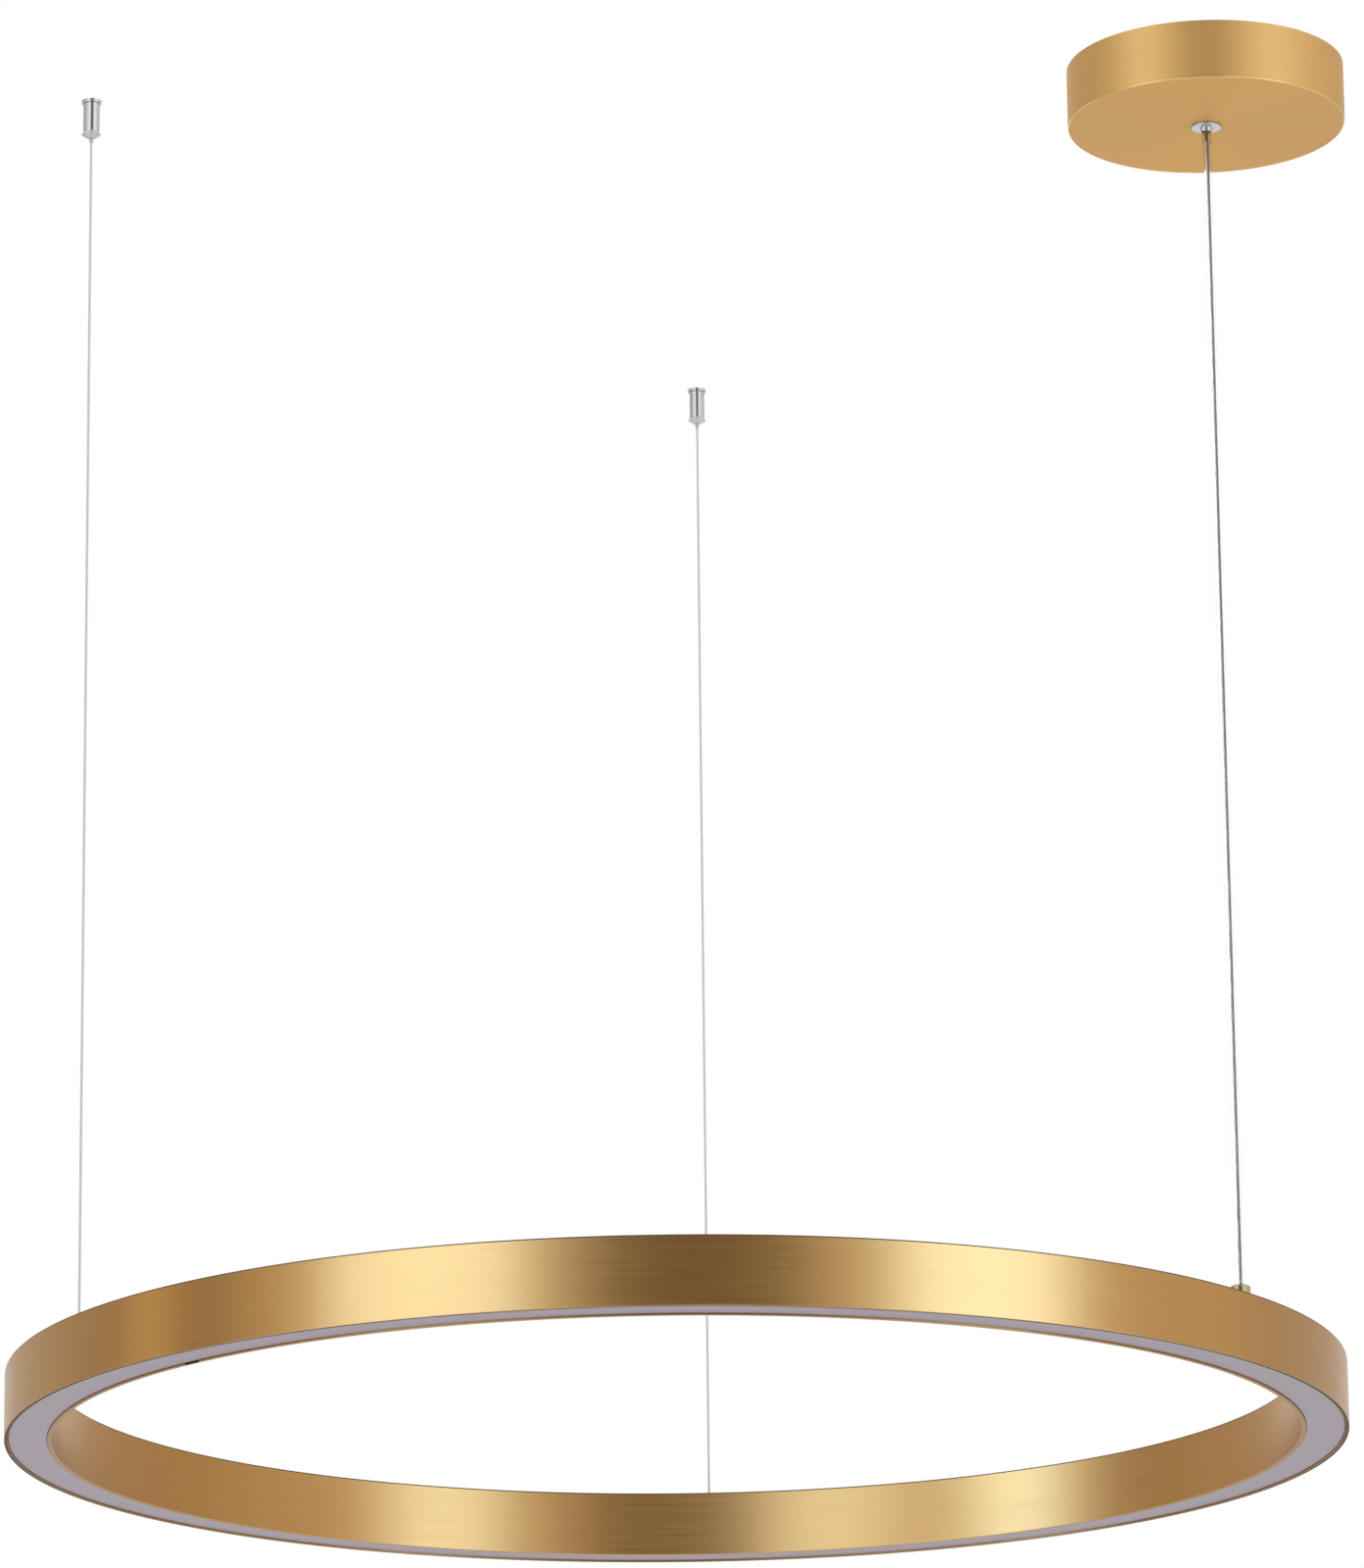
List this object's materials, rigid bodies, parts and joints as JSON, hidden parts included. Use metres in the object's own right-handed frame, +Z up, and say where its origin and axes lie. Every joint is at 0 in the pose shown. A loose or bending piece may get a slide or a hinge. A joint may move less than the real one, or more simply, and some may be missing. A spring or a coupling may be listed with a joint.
{
  "type": "led ring ceiling chandelier",
  "caption": "Flat brushed-gold LED ring with an opal underside, hung level below the ceiling by steel wires and a clear power cable that comes out of a round gold canopy.",
  "frame": {"origin": "middle of the canopy's ceiling plate, on the ceiling plane, halfway between the plate's two screw slots", "axes": "+Z up into the ceiling, +X from the ring towards the canopy's side as seen in the picture, +Y away from the viewer"},
  "size_m": [0.8167, 0.8, 0.79],
  "materials": {
    "gold_aluminium": "brushed round the ring, gold anodised",
    "gold_steel": "spun sheet, brushed, gold plated",
    "opal_acrylic": "satin opal, unlit",
    "chrome": "polished plating",
    "zinc_steel": "bright zinc plated",
    "steel_wire": "stranded stainless wire",
    "brass": "machined",
    "clear_pvc": "clear, smooth extruded",
    "white_plastic": "moulded",
    "circuit_board": "white solder mask",
    "component_resin": "moulded resin"
  },
  "bodies": {
    "ceiling_set": {"ceiling_plate": "zinc_steel", "canopy_cover": "gold_steel", "canopy_screws": "zinc_steel", "driver_base": "white_plastic", "driver_cover": "white_plastic", "driver_board": "circuit_board", "driver_components": "component_resin", "plate_screws": "zinc_steel", "earth_screw": "zinc_steel", "terminal_block": "white_plastic", "terminal_clamps": "brass", "cord_grip": "chrome", "cord_grip_washer": "zinc_steel", "cord_grip_nut": "zinc_steel", "cable_stop_collar": "zinc_steel", "power_cable_jacket": "clear_pvc", "power_cable_core": "steel_wire", "anchor_base_left": "chrome", "anchor_sleeve_left": "chrome", "release_spring_left": "steel_wire", "suspension_wire_left": "steel_wire", "anchor_base_far": "chrome", "anchor_sleeve_far": "chrome", "release_spring_far": "steel_wire", "suspension_wire_far": "steel_wire"},
    "ring": {"ring_channel": "gold_aluminium", "diffuser": "opal_acrylic", "led_board_left": "circuit_board", "led_board_front": "circuit_board", "led_board_right": "circuit_board", "led_chips": "component_resin", "cable_gland": "chrome", "gland_nut": "zinc_steel", "core_stop": "zinc_steel", "wire_bush_left": "chrome", "bush_nut_left": "zinc_steel", "wire_stop_left": "steel_wire", "wire_bush_far": "chrome", "bush_nut_far": "zinc_steel", "wire_stop_far": "steel_wire"},
    "plunger_left": {"release_nozzle_left": "chrome", "grip_jaws_left": "brass"},
    "plunger_far": {"release_nozzle_far": "chrome", "grip_jaws_far": "brass"}
  },
  "joints": [
    {"name": "ring_height", "type": "slide", "parent": "ceiling_set", "child": "ring", "axis": [0, 0, 1], "range_m": [0, 0.45], "deforming": ["suspension_wire_left", "suspension_wire_far", "power_cable_jacket", "power_cable_core"]},
    {"name": "release_left", "type": "slide", "parent": "ceiling_set", "child": "plunger_left", "axis": [0, 0, 1], "range_m": [0, 0.002], "stiffness_N_per_m": 600, "springref_m": -0.003, "deforming": ["release_spring_left"]},
    {"name": "release_far", "type": "slide", "parent": "ceiling_set", "child": "plunger_far", "axis": [0, 0, 1], "range_m": [0, 0.002], "stiffness_N_per_m": 600, "springref_m": -0.003, "deforming": ["release_spring_far"]}
  ]
}
